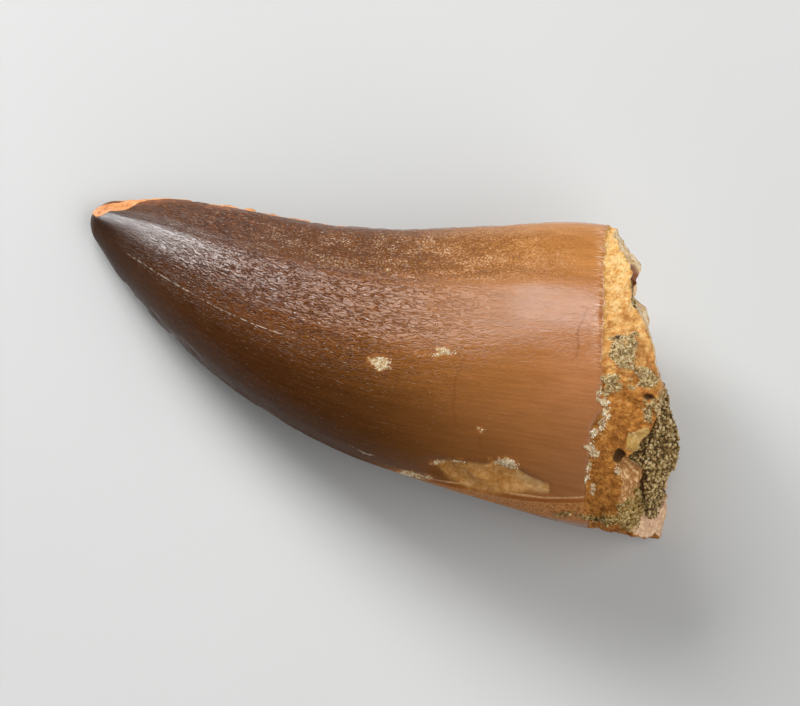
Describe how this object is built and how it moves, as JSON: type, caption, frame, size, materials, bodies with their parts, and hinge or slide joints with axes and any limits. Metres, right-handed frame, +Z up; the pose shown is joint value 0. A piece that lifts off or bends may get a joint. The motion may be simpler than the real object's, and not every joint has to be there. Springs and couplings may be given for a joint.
{
  "type": "fossil mosasaur tooth",
  "caption": "Recurved fossil reptile tooth with two cutting edges, a bare collar and a broken root filled with sandy sediment, lying on its inner face.",
  "frame": {"origin": "bottom centre of the box, on the surface that the tooth lies on", "axes": "X runs from the tip (-X) to the broken root (+X), +Y is the concave distal side, +Z is up through the flatter labial face"},
  "size_m": [0.0441, 0.0288, 0.0169],
  "materials": {
    "enamel_and_dentine": "satin brown enamel with fine lengthwise striations; matt orange dentine on the collar",
    "sandy_sediment": "matt, coarse-grained, olive-tan"
  },
  "bodies": {
    "root": {"tooth": "enamel_and_dentine", "matrix_plug": "sandy_sediment"}
  },
  "joints": []
}
